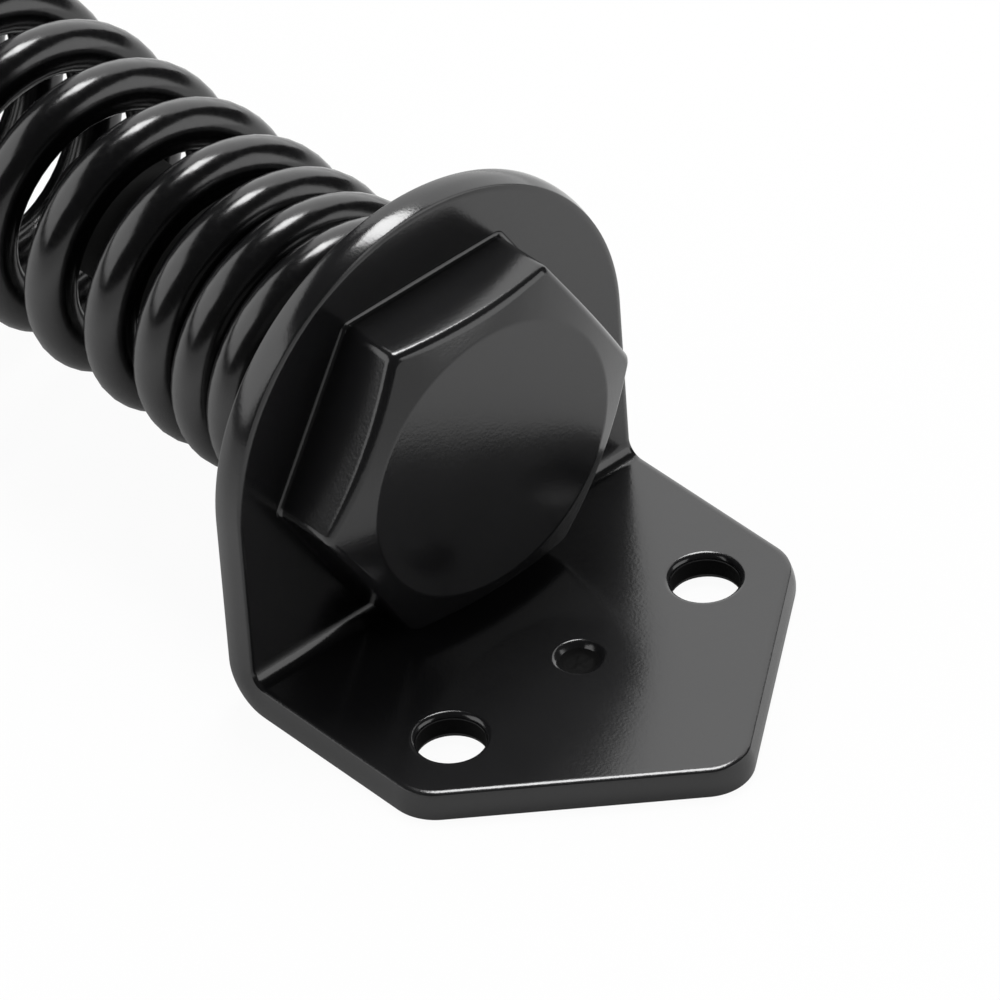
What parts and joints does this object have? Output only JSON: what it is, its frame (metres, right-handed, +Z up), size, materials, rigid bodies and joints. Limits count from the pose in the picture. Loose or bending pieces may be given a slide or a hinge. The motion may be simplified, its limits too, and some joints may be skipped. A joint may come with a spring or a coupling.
{
  "type": "gate spring closer",
  "caption": "Self-closing gate spring: an open-wound torsion spring between two bent screw-on brackets, with a keyed hex anchor at one end and a winding collar with a lock pin at the other.",
  "frame": {"origin": "midway between the gate bracket's two screw holes, on its mounting face", "axes": "+X along the spring's axis towards the gate bracket's foot, +Z up from the mounting faces, +Y across the brackets"},
  "size_m": [0.3393, 0.0516, 0.0577],
  "materials": {
    "bracket_coat": "semi-gloss black powder coat on steel",
    "spring_coat": "gloss black coat on spring steel",
    "cast_cone": "dark cast metal",
    "zinc_steel": "zinc plated",
    "nylon": "natural nylon"
  },
  "bodies": {
    "gate": {"gate_bracket": "bracket_coat", "hex_anchor": "bracket_coat", "gate_cone": "cast_cone", "gate_cone_pin": "zinc_steel", "closer_spring": "spring_coat"},
    "winder": {"winding_collar": "bracket_coat", "post_cone": "cast_cone", "post_cone_pin": "zinc_steel"},
    "post": {"post_bracket": "bracket_coat", "inner_washer": "nylon", "outer_washer": "nylon"},
    "pin": {"lock_pin": "zinc_steel"}
  },
  "joints": [
    {"name": "spring_twist", "type": "hinge", "parent": "gate", "child": "winder", "pos_m": [-0.1454, 0, 0.0222], "axis": [1, 0, 0], "range_deg": [0, 150], "stiffness_Nm_per_rad": 3.2, "deforming": ["closer_spring"]},
    {"name": "post_swivel", "type": "hinge", "parent": "winder", "child": "post", "pos_m": [-0.2711, 0, 0.0222], "axis": [1, 0, 0], "range_deg": [-120, 120]},
    {"name": "pin_pull", "type": "slide", "parent": "winder", "child": "pin", "axis": [0, 0, 1], "range_m": [0, 0.03]}
  ]
}
